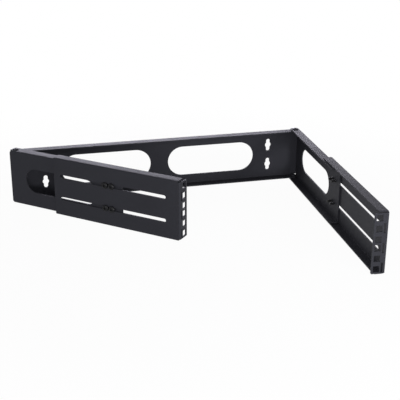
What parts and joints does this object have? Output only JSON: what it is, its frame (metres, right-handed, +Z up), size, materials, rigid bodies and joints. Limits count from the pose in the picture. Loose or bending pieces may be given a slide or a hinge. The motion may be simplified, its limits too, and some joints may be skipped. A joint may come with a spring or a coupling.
{
  "type": "wall mount open frame rack",
  "caption": "Hinged wall bracket with an open front that carries rack equipment: a wall channel, arms that fold on rivets and front channels that slide along them",
  "frame": {"origin": "the middle of the wall channel's rear face, on the wall and halfway up", "axes": "+X to the right seen from the room, +Y into the wall, +Z up"},
  "size_m": [0.4912, 0.3937, 0.095],
  "materials": {
    "black_powder_coat": "satin black powder coat with a fine texture",
    "black_screw": "blackened steel",
    "black_rivet": "satin black powder coat over steel"
  },
  "bodies": {
    "back": {"back_plate": "black_powder_coat", "left_hinge_rivet_top": "black_rivet", "left_hinge_rivet_bottom": "black_rivet", "right_hinge_rivet_top": "black_rivet", "right_hinge_rivet_bottom": "black_rivet"},
    "left_arm": {"left_hinged_arm": "black_powder_coat", "left_screw_upper_1": "black_screw", "left_screw_upper_2": "black_screw", "left_screw_lower_1": "black_screw", "left_screw_lower_2": "black_screw"},
    "left_front": {"left_front_channel": "black_powder_coat"},
    "right_arm": {"right_hinged_arm": "black_powder_coat", "right_screw_upper_1": "black_screw", "right_screw_upper_2": "black_screw", "right_screw_lower_1": "black_screw", "right_screw_lower_2": "black_screw"},
    "right_front": {"right_front_channel": "black_powder_coat"}
  },
  "joints": [
    {"name": "left_arm_hinge", "type": "hinge", "parent": "back", "child": "left_arm", "pos_m": [-0.23555, -0.0105, 0], "axis": [0, 0, 1], "range_deg": [-48.4, 37.1]},
    {"name": "right_arm_hinge", "type": "hinge", "parent": "back", "child": "right_arm", "pos_m": [0.23555, -0.0105, 0], "axis": [0, 0, -1], "range_deg": [-1.4, 45.6]},
    {"name": "left_front_slide", "type": "slide", "parent": "left_arm", "child": "left_front", "axis": [0.7478, -0.6639, 0], "range_m": [-0.0746, 0.0816]},
    {"name": "right_front_slide", "type": "slide", "parent": "right_arm", "child": "right_front", "axis": [-0.0244, -0.9997, 0], "range_m": [-0.1517, 0.0045]}
  ]
}
